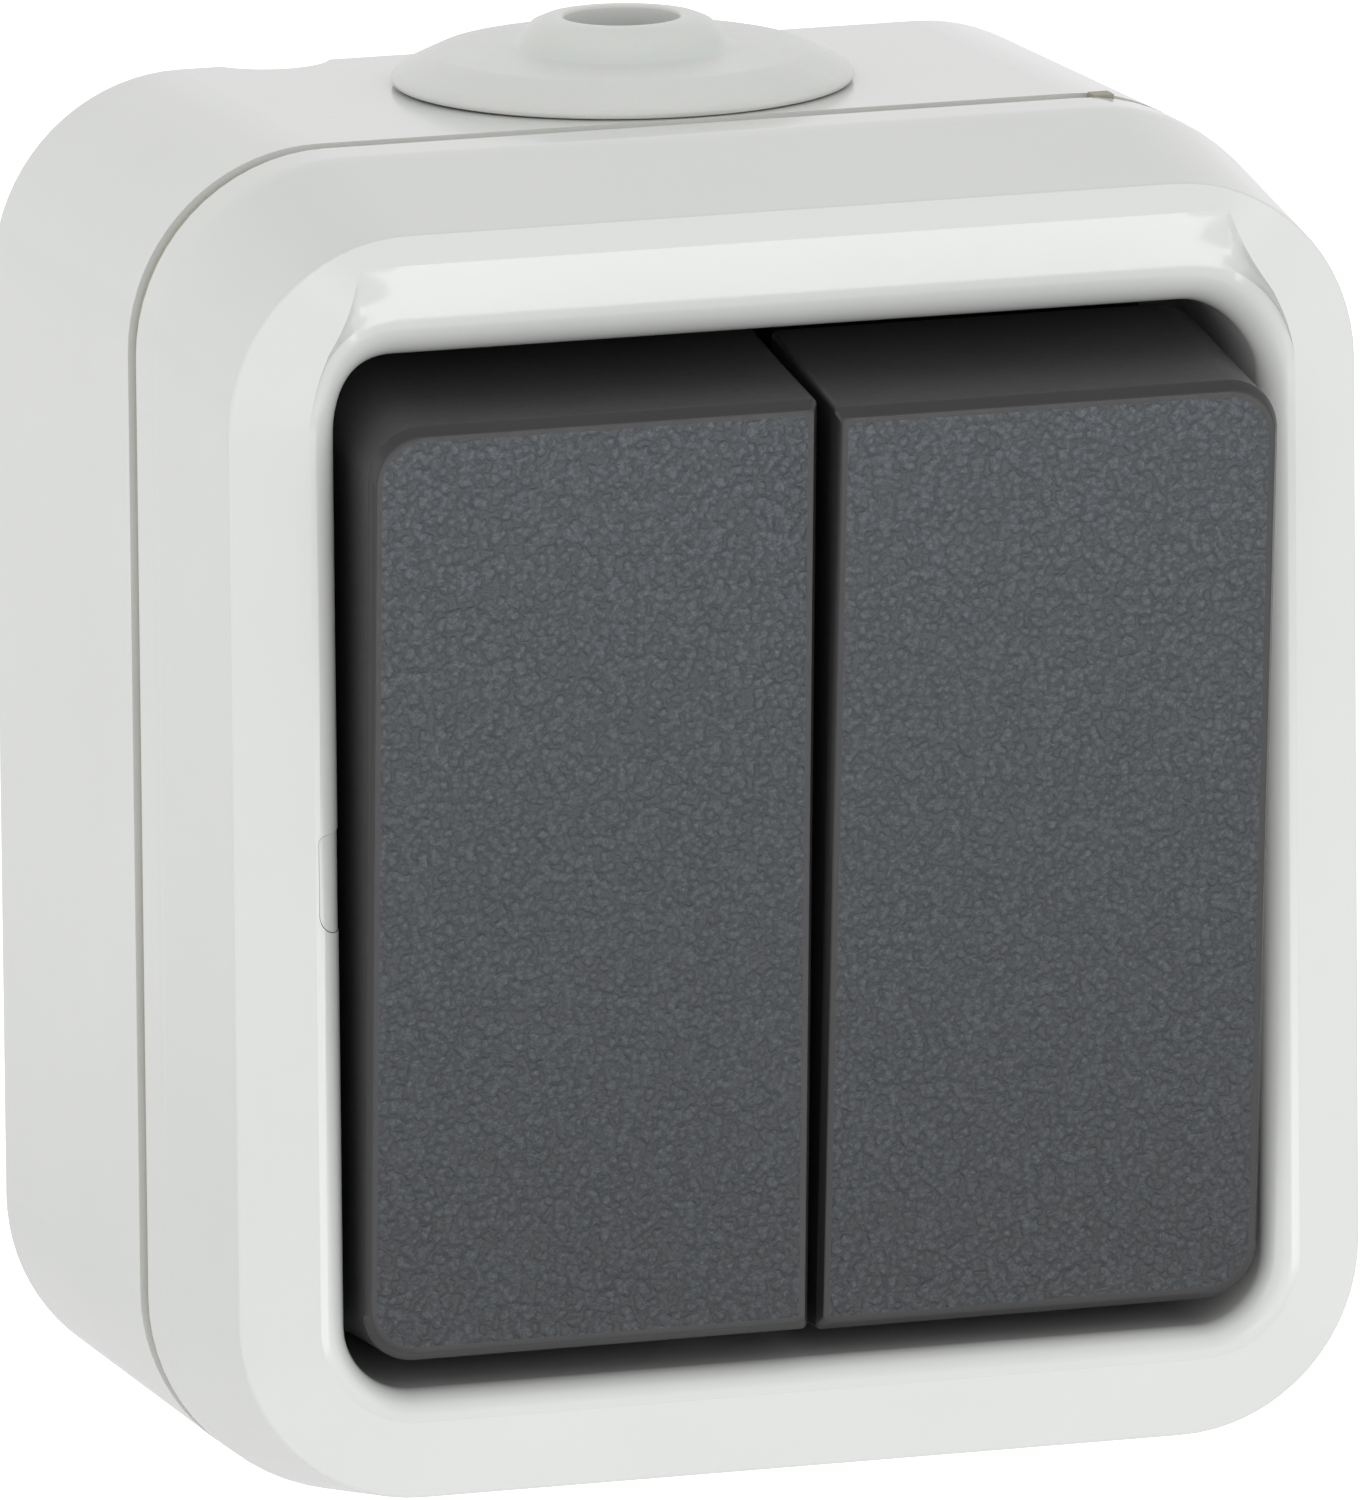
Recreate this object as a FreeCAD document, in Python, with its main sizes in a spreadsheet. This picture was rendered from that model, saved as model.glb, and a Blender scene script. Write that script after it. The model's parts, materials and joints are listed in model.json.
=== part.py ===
import FreeCAD, Part
import math
import os

import Sketcher

# Surface-mounted, splash-protected two-gang rocker switch.
# Row frame: +Z up, the front faces -Y, the wall is the plane y = 0, and the origin is the middle
# of the back face. "Depth" is the distance from the wall, so a point at depth d has y = -d.

# ---------------------------------------------------------------- driving dimensions, millimetres
DIMENSIONS = {
    "box_width": 66.0, "box_height": 75.0, "box_corner": 11.05, "box_draft": 0.2,
    "box_depth": 26.3, "wall": 2.2, "floor_thickness": 2.5, "post_radius": 3.5, "post_height": 26.0,
    "slot_spacing_across": 40.0, "slot_spacing_up": 54.0, "slot_length": 7.0, "slot_width": 4.4,
    "knockout_radius": 9.9, "knockout_groove": 0.6,
    "pry_across": 16.1, "pry_radius": 3.5, "pry_reach": 2.0,
    "seam_gap": 1.4, "gasket_inset": 0.45, "gasket_width": 1.6, "tab_across": 22.9, "tab_width": 1.2,
    "band_depth": 3.35, "ring_depth": 43.5, "ring_inset_side": 0.45, "ring_inset_top": 2.18,
    "ring_corner": 10.5, "ring_edge": 0.2, "cover_wall": 2.0, "face_depth": 45.3,
    "window_width": 53.4, "window_height": 57.6, "window_drop": 0.3, "window_corner": 3.9,
    "lip_radius": 1.75, "tunnel_wall": 1.5, "tunnel_depth": 10.5,
    "latch_height": 5.8, "latch_play": 0.05, "latch_reach": 1.55,
    "land_top": 33.9, "land_depth": 44.0, "land_width": 50.4, "land_mouth": 55.2,
    "entry_depth": 13.3, "entry_radius": 10.2, "cable_radius": 3.27, "flange_radius": 12.93,
    "nipple_height": 3.7,
    "pivot_depth": 35.0, "pin_radius": 1.5, "pin_length": 49.0, "running_gap": 0.05,
    "left_tilt": 3.4, "right_tilt": 5.2,
    "cap_gap": 0.76, "cap_outer": 26.1, "cap_front": 12.4, "cap_rear": 2.1,
    "cap_front_half": 26.45, "cap_rear_half": 27.7, "cap_corner": 3.0, "cap_chamfer": 0.5,
    "cap_side_chamfer": 0.3, "cap_wall": 1.5, "cap_front_wall": 2.0,
    "gang_offset": 9.0, "base_half_width": 21.5, "base_half_height": 21.0,
    "base_rear": 2.5, "base_front": 22.0, "lid_thickness": 2.5,
    "lid_half_width": 26.5, "lid_half_height": 30.0,
    "lug_outer": 22.4, "lug_thickness": 1.6, "lug_radius": 3.0, "centre_lug": 1.9,
    "boss_radius": 3.6, "boss_inner": 2.5, "boss_outer": 21.6, "arm_half": 12.0,
    "tube_radius": 3.0, "tube_depth": 9.4, "tube_bore": 2.25, "bore_end": 2.0,
    "plunger_reach": 14.1, "plunger_tip": 1.2, "plunger_head": 2.18,
    "spring_radius": 1.7, "spring_wire": 0.24, "spring_rear": 6.4, "spring_front": 2.3,
    "seesaw_depth": 19.6, "seesaw_ratio": 1.8, "seesaw_half": 10.0, "seesaw_width": 3.4,
    "nose_radius": 0.45,
    "contact_up": 8.5, "contact_radius": 1.4,
    "strip_depth": 15.6, "strip_thickness": 1.0, "terminal_across": 15.0, "terminal_up": 17.0,
    "terminal_rear": 8.5, "terminal_screw": 1.55,
}

doc = FreeCAD.newDocument("RockerSwitch")
sheet = doc.addObject("Spreadsheet::Sheet", "Dims")
for row, (alias, number) in enumerate(DIMENSIONS.items(), 1):
    sheet.set(f"A{row}", alias)
    sheet.set(f"B{row}", str(number))
    sheet.setAlias(f"B{row}", alias)
doc.recompute()


class Dim:
    """A size: its value now, and the sheet expression that gives it."""

    def __init__(self, text, value):
        self.text, self.value = text, value

    def __add__(self, other):
        other = as_dim(other)
        return Dim(f"({self.text} + {other.text})", self.value + other.value)

    def __sub__(self, other):
        other = as_dim(other)
        return Dim(f"({self.text} - {other.text})", self.value - other.value)

    def __mul__(self, other):
        other = as_dim(other)
        return Dim(f"({self.text} * {other.text})", self.value * other.value)

    def __truediv__(self, other):
        other = as_dim(other)
        return Dim(f"({self.text} / {other.text})", self.value / other.value)

    def __neg__(self):
        return Dim(f"(-1 * {self.text})", -self.value)

    def __radd__(self, other):
        return as_dim(other) + self

    def __rsub__(self, other):
        return as_dim(other) - self

    def __rmul__(self, other):
        return as_dim(other) * self


def as_dim(number):
    return number if isinstance(number, Dim) else Dim(f"({number})", float(number))


class Sizes:
    """Gives each sheet alias as an attribute, such as D.box_width."""

    def __getattr__(self, alias):
        return Dim(f"Dims.{alias}", DIMENSIONS[alias])


D = Sizes()
nodes = {}


# ---------------------------------------------------------------- helpers
def bind(thing, prop, size):
    """Ties a property of an object to the sheet."""
    thing.setExpression(prop, as_dim(size).text)


def keep(name, thing):
    """Registers a finished sub-part under its node name."""
    thing.Label = name
    nodes[name] = thing
    return thing


def place(thing, depth, angle=0.0, height=0.0):
    """Puts a piece that was modelled about its own pivot at a depth, turned about X."""
    turn = FreeCAD.Rotation(FreeCAD.Vector(1, 0, 0), as_dim(angle).value or 1e-9)
    thing.Placement = FreeCAD.Placement(FreeCAD.Vector(), turn)
    bind(thing, "Placement.Base.y", -as_dim(depth))
    bind(thing, "Placement.Base.z", height)
    if isinstance(angle, Dim):
        bind(thing, "Placement.Rotation.Angle", angle)


def new_body(name):
    return doc.addObject("PartDesign::Body", name + "_body")


def new_sketch(body, name, role="XZ_Plane", offset=0.0):
    """A sketch on an origin plane of its body. On XZ_Plane the offset is a depth."""
    sketch = body.newObject("Sketcher::SketchObject", name)
    sketch.AttachmentSupport = [(next(f for f in body.Origin.OriginFeatures if f.Role == role), "")]
    sketch.MapMode = "FlatFace"
    bind(sketch, "AttachmentOffset.Base.z", offset)
    return sketch


def pin_point(sketch, geometry, point, across, up):
    """Holds a sketch point at (across, up) from the origin."""
    for kind, size in (("DistanceX", as_dim(across)), ("DistanceY", as_dim(up))):
        if size.value < 0:
            index = sketch.addConstraint(Sketcher.Constraint(kind, geometry, point, -1, 1, -size.value))
            size = -size
        else:
            index = sketch.addConstraint(Sketcher.Constraint(kind, -1, 1, geometry, point, size.value))
        sketch.setExpression(f"Constraints[{index}]", size.text)


def hold_side(sketch, geometry, kind, size):
    """Holds a horizontal or vertical line at a signed distance from the origin."""
    if size.value < 0:
        index = sketch.addConstraint(Sketcher.Constraint(kind, geometry, 1, -1, 1, -size.value))
        size = -size
    else:
        index = sketch.addConstraint(Sketcher.Constraint(kind, -1, 1, geometry, 1, size.value))
    sketch.setExpression(f"Constraints[{index}]", size.text)


def rounded_rectangle(sketch, left, right, low, high, radii):
    """A rectangle whose corners, lower left first and anticlockwise, are rounded or sharp (0)."""
    left, right, low, high = (as_dim(v) for v in (left, right, low, high))
    radii = [as_dim(r) for r in radii]
    corners = [(left, low, 1, 1), (right, low, -1, 1), (right, high, -1, -1), (left, high, 1, -1)]
    lines = []
    for i in range(4):
        (x0, z0, ix0, iz0), (x1, z1, ix1, iz1) = corners[i], corners[(i + 1) % 4]
        r0, r1 = radii[i].value, radii[(i + 1) % 4].value
        across = i % 2 == 0
        start = FreeCAD.Vector(x0.value + ix0 * r0 * across, z0.value + iz0 * r0 * (not across), 0)
        end = FreeCAD.Vector(x1.value + ix1 * r1 * across, z1.value + iz1 * r1 * (not across), 0)
        line = sketch.addGeometry(Part.LineSegment(start, end), False)
        sketch.addConstraint(Sketcher.Constraint("Horizontal" if across else "Vertical", line))
        lines.append(line)
    for i, (x, z, inward_x, inward_z) in enumerate(corners):
        before, after = lines[i - 1], lines[i]
        r = radii[i]
        if r.value == 0:
            sketch.addConstraint(Sketcher.Constraint("Coincident", before, 2, after, 1))
            continue
        centre = FreeCAD.Vector(x.value + inward_x * r.value, z.value + inward_z * r.value, 0)
        circle = Part.Circle(centre, FreeCAD.Vector(0, 0, 1), r.value)
        first = math.pi * (1 + i / 2)
        arc = sketch.addGeometry(Part.ArcOfCircle(circle, first, first + math.pi / 2), False)
        sketch.addConstraint(Sketcher.Constraint("Tangent", before, 2, arc, 1))
        sketch.addConstraint(Sketcher.Constraint("Tangent", arc, 2, after, 1))
        index = sketch.addConstraint(Sketcher.Constraint("Radius", arc, r.value))
        sketch.setExpression(f"Constraints[{index}]", r.text)
    hold_side(sketch, lines[0], "DistanceY", low)
    hold_side(sketch, lines[1], "DistanceX", right)
    hold_side(sketch, lines[2], "DistanceY", high)
    hold_side(sketch, lines[3], "DistanceX", left)


def centred_rectangle(sketch, width, height, radius):
    rounded_rectangle(sketch, -width / 2, width / 2, -height / 2, height / 2, [radius] * 4)


def circle(sketch, radius, across=0.0, up=0.0):
    across, up, radius = as_dim(across), as_dim(up), as_dim(radius)
    centre = FreeCAD.Vector(across.value, up.value, 0)
    ring = sketch.addGeometry(Part.Circle(centre, FreeCAD.Vector(0, 0, 1), radius.value), False)
    index = sketch.addConstraint(Sketcher.Constraint("Radius", ring, radius.value))
    sketch.setExpression(f"Constraints[{index}]", radius.text)
    pin_point(sketch, ring, 3, across, up)


def polygon(sketch, points):
    """A closed outline of straight edges, each corner held by its two distances."""
    count = len(points)
    places = [FreeCAD.Vector(as_dim(x).value, as_dim(z).value, 0) for x, z in points]
    lines = [sketch.addGeometry(Part.LineSegment(places[i], places[(i + 1) % count]), False)
             for i in range(count)]
    for i in range(count):
        sketch.addConstraint(Sketcher.Constraint("Coincident", lines[i], 2, lines[(i + 1) % count], 1))
        pin_point(sketch, lines[i], 1, *points[i])


def feature(body, kind, name, profile, **sizes):
    """A PartDesign feature of a profile, with sizes bound to the sheet."""
    made = body.newObject("PartDesign::" + kind, name)
    made.Profile = profile
    for prop, size in sizes.items():
        bind(made, prop, size)
    return made


def loft(body, kind, name, first, last):
    made = feature(body, kind, name, first)
    made.Sections = [last]
    made.Ruled = True
    return made


def cut_through(body, name, profile):
    """A pocket from its sketch through everything behind it."""
    made = feature(body, "Pocket", name, profile)
    made.Type = "ThroughAll"
    return made


def block(name, x, depth, z):
    """A box between two limits on each axis."""
    made = doc.addObject("Part::Box", name)
    for prop, (low, high) in (("Length", x), ("Width", depth), ("Height", z)):
        bind(made, prop, as_dim(high) - low)
    bind(made, "Placement.Base.x", x[0])
    bind(made, "Placement.Base.y", -as_dim(depth[1]))
    bind(made, "Placement.Base.z", z[0])
    return made


AXES = {
    "across": FreeCAD.Rotation(FreeCAD.Vector(0, 1, 0), 90),
    "forward": FreeCAD.Rotation(FreeCAD.Vector(1, 0, 0), 90),
    "up": FreeCAD.Rotation(),
}


def rod(name, axis, radius, length, x, depth, z, kind="Part::Cylinder"):
    """A cylinder that starts at (x, depth, z) and runs across (+X), forward or up."""
    made = doc.addObject(kind, name)
    made.Placement = FreeCAD.Placement(FreeCAD.Vector(), AXES[axis])
    bind(made, "Radius", radius)
    bind(made, "Height", length)
    bind(made, "Placement.Base.x", x)
    bind(made, "Placement.Base.y", -as_dim(depth))
    bind(made, "Placement.Base.z", z)
    return made


def ball(name, radius, x, depth, z):
    made = doc.addObject("Part::Sphere", name)
    bind(made, "Radius", radius)
    bind(made, "Placement.Base.x", x)
    bind(made, "Placement.Base.y", -as_dim(depth))
    bind(made, "Placement.Base.z", z)
    return made


def join(name, pieces):
    made = doc.addObject("Part::MultiFuse", name)
    made.Shapes = pieces
    made.Refine = True
    return made


def cut(name, base, tools):
    made = doc.addObject("Part::Cut", name)
    made.Base = base
    made.Tool = tools[0] if len(tools) == 1 else join(name + "_tools", tools)
    made.Refine = True
    return made


def group(name, pieces):
    """Separate identical solids that share one node."""
    made = doc.addObject("Part::Compound", name)
    made.Links = pieces
    return made


SIDES = (("left", -1), ("right", 1))


def span(side, low, high):
    """The X limits of something that lies from low to high on one side of the middle."""
    return (as_dim(low), as_dim(high)) if side > 0 else (-as_dim(high), -as_dim(low))


# ---------------------------------------------------------------- back box
def make_back_box():
    body = new_body("back_box")
    inner_width = D.box_width - 2 * D.wall
    inner_height = D.box_height - 2 * D.wall
    at_wall = new_sketch(body, "box_at_wall")
    centred_rectangle(at_wall, D.box_width - 2 * D.box_draft, D.box_height - 2 * D.box_draft, D.box_corner)
    at_seam = new_sketch(body, "box_at_seam", offset=D.box_depth)
    centred_rectangle(at_seam, D.box_width, D.box_height, D.box_corner)
    loft(body, "AdditiveLoft", "box_outside", at_wall, at_seam)
    cavity = new_sketch(body, "box_cavity_outline", offset=D.box_depth)
    centred_rectangle(cavity, inner_width, inner_height, D.box_corner - D.wall)
    feature(body, "Pocket", "box_cavity", cavity, Length=D.box_depth - D.floor_thickness)

    posts = new_sketch(body, "post_outline", offset=D.floor_thickness)
    for up in (D.post_height, -D.post_height):
        circle(posts, D.post_radius, 0, up)
    feature(body, "Pad", "posts", posts, Length=D.base_front - D.floor_thickness)
    pilots = new_sketch(body, "pilot_outline", offset=D.base_front)
    for up in (D.post_height, -D.post_height):
        circle(pilots, 1.52, 0, up)
    feature(body, "Pocket", "pilot_holes", pilots, Length=11.0)

    slots = new_sketch(body, "slot_outline", offset=D.floor_thickness)
    for side in (-1, 1):
        for level in (-1, 1):
            middle, up = side * D.slot_spacing_across / 2, level * D.slot_spacing_up / 2
            rounded_rectangle(slots, middle - D.slot_length / 2, middle + D.slot_length / 2,
                              up - D.slot_width / 2, up + D.slot_width / 2, [D.slot_width * 0.499] * 4)
    cut_through(body, "wall_slots", slots)

    entry = new_sketch(body, "entry_outline", "XY_Plane", D.box_height / 2 + 1)
    circle(entry, D.entry_radius, 0, -D.entry_depth)
    feature(body, "Pocket", "cable_entry", entry, Length=D.wall + 2)
    knockout = new_sketch(body, "knockout_outline", "XY_Plane", -(D.box_height / 2 - D.knockout_groove))
    circle(knockout, D.knockout_radius, 0, -D.entry_depth)
    circle(knockout, D.knockout_radius - D.knockout_groove, 0, -D.entry_depth)
    feature(body, "Pocket", "knockout_ring", knockout, Length=2.0)

    pry = new_sketch(body, "pry_notch_outline", "XY_Plane", D.box_height / 2 + 1)
    circle(pry, D.pry_radius, -D.pry_across, D.pry_radius - D.pry_reach)
    feature(body, "Pocket", "pry_notch", pry, Length=D.wall + 1)

    catches = new_sketch(body, "catch_outline", offset=24.4)
    for side in (-1, 1):
        recess = span(side, inner_width / 2 - 0.5, inner_width / 2 + 0.9)
        rounded_rectangle(catches, *recess, -4.5, 4.5, [0] * 4)
    feature(body, "Pocket", "cover_catches", catches, Length=2.6)
    keep("back_box", body)


# ---------------------------------------------------------------- gasket between box and cover
def make_gasket():
    body = new_body("box_gasket")
    strip = new_sketch(body, "gasket_outline", offset=D.box_depth)
    outer = D.gasket_inset
    inner = D.gasket_inset + D.gasket_width
    for inset in (outer, inner):
        centred_rectangle(strip, D.box_width - 2 * inset, D.box_height - 2 * inset, D.box_corner - inset)
    feature(body, "Pad", "gasket_strip", strip, Length=D.seam_gap)
    tab = new_sketch(body, "gasket_tab_outline", offset=D.box_depth + 0.1)
    rounded_rectangle(tab, D.tab_across, D.tab_across + D.tab_width, D.box_height / 2 - 1.4,
                      D.box_height / 2 + 0.05, [0] * 4)
    feature(body, "Pad", "gasket_tab", tab, Length=D.seam_gap - 0.2)
    keep("box_gasket", body)


# ---------------------------------------------------------------- front cover with its ring and window
LIP_STEPS = 3


def window_outline(body, name, depth, spread):
    """The window's outline at a depth, spread outwards by a distance."""
    sketch = new_sketch(body, name, offset=depth)
    across, up = D.window_width / 2 + spread, D.window_height / 2 + spread
    corner = D.window_corner + spread
    rounded_rectangle(sketch, -across, across, -up - D.window_drop, up - D.window_drop, [corner] * 4)
    return sketch


def make_cover():
    rear = D.box_depth + D.seam_gap
    shoulder = rear + D.band_depth
    ring_width = D.box_width - 2 * D.ring_inset_side
    ring_height = D.box_height - 2 * D.ring_inset_top
    body = new_body("cover_frame")
    band = new_sketch(body, "band_outline", offset=rear)
    centred_rectangle(band, D.box_width, D.box_height, D.box_corner)
    feature(body, "Pad", "band", band, Length=D.band_depth)
    slope_rear = new_sketch(body, "slope_rear", offset=shoulder)
    centred_rectangle(slope_rear, D.box_width, D.box_height, D.box_corner)
    slope_front = new_sketch(body, "slope_front", offset=D.ring_depth)
    centred_rectangle(slope_front, ring_width, ring_height, D.ring_corner)
    loft(body, "AdditiveLoft", "slope", slope_rear, slope_front)

    face_rear = new_sketch(body, "face_rear", offset=D.ring_depth)
    centred_rectangle(face_rear, ring_width, ring_height, D.ring_corner)
    face_front = window_outline(body, "face_front", D.face_depth, D.lip_radius)
    face = loft(body, "AdditiveLoft", "sloped_face", face_rear, face_front)
    ring_edges = []
    doc.recompute()
    for number, edge in enumerate(body.Shape.Edges, 1):
        limits = edge.BoundBox
        if abs(limits.YMin + D.ring_depth.value) < 1e-3 and abs(limits.YMax + D.ring_depth.value) < 1e-3:
            ring_edges.append(f"Edge{number}")
    soft_edge = body.newObject("PartDesign::Fillet", "ring_soft_edge")
    soft_edge.Base = (face, ring_edges)
    bind(soft_edge, "Radius", D.ring_edge)

    wall = 2 * D.cover_wall
    inside_rear = new_sketch(body, "inside_rear", offset=rear)
    centred_rectangle(inside_rear, D.box_width - wall, D.box_height - wall, D.box_corner - D.cover_wall)
    inside_front = new_sketch(body, "inside_front", offset=D.ring_depth - D.cover_wall)
    centred_rectangle(inside_front, ring_width - wall - 0.4, ring_height - wall - 0.4,
                      D.ring_corner - D.cover_wall)
    loft(body, "SubtractiveLoft", "inside", inside_rear, inside_front)

    tunnel = window_outline(body, "tunnel_outline", D.ring_depth - D.tunnel_depth, D.tunnel_wall)
    feature(body, "Pad", "tunnel", tunnel, Length=D.tunnel_depth - 0.5 * D.cover_wall)
    window = window_outline(body, "window_outline", D.face_depth + 1, 0)
    cut_through(body, "window", window)
    for step in range(LIP_STEPS):
        sections = []
        for turn in (step, step + 1):
            angle = math.pi / 2 * turn / LIP_STEPS
            spread = D.lip_radius * (1 - math.sin(angle) * 0.999)
            depth = D.face_depth - D.lip_radius * (1 - math.cos(angle))
            sections.append(window_outline(body, f"lip_{step}_{turn}", depth, spread))
        loft(body, "SubtractiveLoft", f"lip_round_{step}", *sections)

    land = new_sketch(body, "land_outline", offset=D.face_depth + 1)
    top, low = D.land_top, D.window_height / 2 - D.window_drop - 0.5
    polygon(land, [(-D.land_mouth / 2, low), (D.land_mouth / 2, low),
                   (D.land_width / 2, top), (-D.land_width / 2, top)])
    feature(body, "Pocket", "finger_land", land, Length=D.face_depth + 1 - D.land_depth)

    slot = new_sketch(body, "latch_slot_outline", offset=D.face_depth + 1)
    rounded_rectangle(slot, -(D.window_width / 2 + D.latch_reach), -(D.window_width / 2 - 1),
                      -D.latch_height / 2, D.latch_height / 2, [0] * 4)
    cut_through(body, "latch_slot", slot)

    hooks = new_sketch(body, "hook_outline", offset=22.4)
    roots = new_sketch(body, "hook_root_outline", offset=rear + 0.6)
    barbs = new_sketch(body, "hook_barb_outline", offset=22.4)
    edge = D.box_width / 2 - D.wall - 0.25
    for side in (-1, 1):
        rounded_rectangle(hooks, *span(side, edge - 1.5, edge), -4, 4, [0] * 4)
        rounded_rectangle(roots, *span(side, edge - 1.5, edge + 1), -4, 4, [0] * 4)
        rounded_rectangle(barbs, *span(side, edge - 0.5, edge + 0.8), -4, 4, [0] * 4)
    feature(body, "Pad", "hook_roots", roots, Length=4.0)
    feature(body, "Pad", "hooks", hooks, Length=8.0)
    feature(body, "Pad", "hook_barbs", barbs, Length=1.6)
    keep("cover_frame", body)


def make_latch():
    """The tongue fills its slot and its nose follows the round of the window's lip."""
    play = D.latch_play
    outside = D.window_width / 2 + D.latch_reach - play
    inside = D.window_width / 2 + play
    centre, root = D.window_width / 2 + D.lip_radius, D.face_depth - D.lip_radius
    z = (-(D.latch_height / 2 - play), D.latch_height / 2 - play)
    stem = block("latch_stem", (-outside, -inside), (D.ring_depth - D.tunnel_depth + 0.5, root), z)
    nose_block = block("latch_nose_block", (-outside, -inside), (root - 0.5, D.face_depth), z)
    nose_round = rod("latch_nose_round", "up", D.lip_radius - play, D.latch_height,
                     -centre, root, -D.latch_height / 2)
    nose = doc.addObject("Part::Common", "latch_nose")
    nose.Base, nose.Tool = nose_block, nose_round
    keep("release_latch", join("latch_tongue", [stem, nose]))


# ---------------------------------------------------------------- cable grommet in the top wall
def make_grommet():
    top = D.box_height / 2
    body = new_body("cable_grommet")
    section = new_sketch(body, "grommet_section")
    rim, hole, throat = D.flange_radius, D.cable_radius, D.entry_radius - 0.1
    polygon(section, [
        (hole, top + D.nipple_height), (hole + 0.75, top + D.nipple_height),
        (hole + 2.25, top + D.nipple_height - 0.75), (hole + 2.45, top + 2.3), (hole + 3.0, top + 1.95),
        (rim - 2.6, top + 1.85), (rim - 0.35, top + 0.9), (rim, top + 0.45), (rim - 0.35, top + 0.02),
        (throat, top + 0.02), (throat, top - D.wall - 0.25), (throat + 0.6, top - D.wall - 0.3),
        (throat + 0.3, top - D.wall - 1.4), (throat - 1.5, top - D.wall - 1.5),
        (throat - 1.5, top + 0.1), (hole + 1.9, top + 0.45), (hole, top + 0.5)])
    spin = body.newObject("PartDesign::Revolution", "grommet_turn")
    spin.Profile = section
    spin.ReferenceAxis = (section, ["V_Axis"])
    spin.Angle = 360.0
    place(body, D.entry_depth)
    keep("cable_grommet", body)


# ---------------------------------------------------------------- rocker caps, modelled about their pivot
def cap_outline(body, name, side, depth, half_height, inset, corner):
    """A cap's outline at a distance in front of the pivot: only its outer corners are round."""
    sketch = new_sketch(body, name, offset=depth)
    round_outer = [0, corner, corner, 0] if side > 0 else [corner, 0, 0, corner]
    inner, outer = D.cap_gap / 2 + inset, D.cap_outer - inset
    rounded_rectangle(sketch, *span(side, inner, outer), -half_height, half_height, round_outer)
    return sketch


def make_cap(word, side, tilt):
    body = new_body(f"rocker_cap_{word}")
    bevel = D.cap_front - D.cap_chamfer
    rear = cap_outline(body, f"cap_rear_{word}", side, D.cap_rear, D.cap_rear_half, 0, D.cap_corner + 0.6)
    mid = cap_outline(body, f"cap_mid_{word}", side, bevel, D.cap_front_half, 0, D.cap_corner)
    loft(body, "AdditiveLoft", f"cap_sides_{word}", rear, mid)
    mid_again = cap_outline(body, f"cap_bevel_{word}", side, bevel, D.cap_front_half, 0, D.cap_corner)
    front = cap_outline(body, f"cap_front_{word}", side, D.cap_front, D.cap_front_half - D.cap_chamfer,
                        D.cap_side_chamfer, D.cap_corner - D.cap_side_chamfer)
    loft(body, "AdditiveLoft", f"cap_bevel_edge_{word}", mid_again, front)

    wall = D.cap_wall
    hollow_rear = cap_outline(body, f"hollow_rear_{word}", side, D.cap_rear, D.cap_rear_half - wall,
                              wall, D.cap_corner + 0.6 - wall)
    hollow_front = cap_outline(body, f"hollow_front_{word}", side, D.cap_front - D.cap_front_wall,
                               D.cap_front_half - wall, wall, D.cap_corner - wall)
    loft(body, "SubtractiveLoft", f"cap_hollow_{word}", hollow_rear, hollow_front)

    floor = D.cap_front - D.cap_front_wall + 0.4
    ribs = new_sketch(body, f"rib_outline_{word}", offset=5.65)
    legs = new_sketch(body, f"leg_outline_{word}", offset=2.9)
    barbs = new_sketch(body, f"barb_outline_{word}", offset=2.9)
    for level in (-1, 1):
        for sketch, near, far in ((ribs, 7.5, 9.5), (legs, 12.1, 13.4), (barbs, 11.3, 12.2)):
            low, high = sorted((level * near, level * far))
            rounded_rectangle(sketch, *span(side, 8.5, 15.5), low, high, [0] * 4)
    feature(body, "Pad", f"cap_ribs_{word}", ribs, Length=floor - 5.65)
    feature(body, "Pad", f"cap_legs_{word}", legs, Length=floor - 2.9)
    feature(body, "Pad", f"cap_barbs_{word}", barbs, Length=0.65)

    relief = new_sketch(body, f"relief_outline_{word}", offset=4.8)
    rounded_rectangle(relief, *span(side, 0.01, 2.4), -7, 7, [0] * 4)
    cut_through(body, f"lug_relief_{word}", relief)
    place(body, D.pivot_depth, tilt)
    keep(f"rocker_cap_{word}", body)


# ---------------------------------------------------------------- lever, plunger and spring under a cap
def make_lever(word, side, tilt):
    start = span(side, D.boss_inner, D.boss_outer)[0]
    length = D.boss_outer - D.boss_inner
    across = side * D.gang_offset
    boss = rod(f"lever_boss_{word}", "across", D.boss_radius, length, start, 0, 0)
    web = block(f"lever_web_{word}", span(side, D.boss_inner, D.boss_outer), (0, 3.8), (-2.6, 2.6))
    arm = block(f"lever_arm_{word}", span(side, 3.0, D.boss_outer), (3.6, 5.6), (-D.arm_half, D.arm_half))
    tube = rod(f"lever_tube_{word}", "forward", D.tube_radius, D.tube_depth, across, -D.tube_depth, 0)
    bore = rod(f"lever_bore_{word}", "forward", D.tube_bore, D.tube_depth - D.bore_end, across,
               -D.tube_depth, 0)
    axle = rod(f"lever_axle_{word}", "across", D.pin_radius + D.running_gap, 24.0,
               span(side, 0, 24)[0], 0, 0)
    lever = cut(f"lever_{word}", join(f"lever_solid_{word}", [boss, web, arm, tube]), [bore, axle])
    place(lever, D.pivot_depth, tilt)
    keep(f"rocker_lever_{word}", lever)


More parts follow.
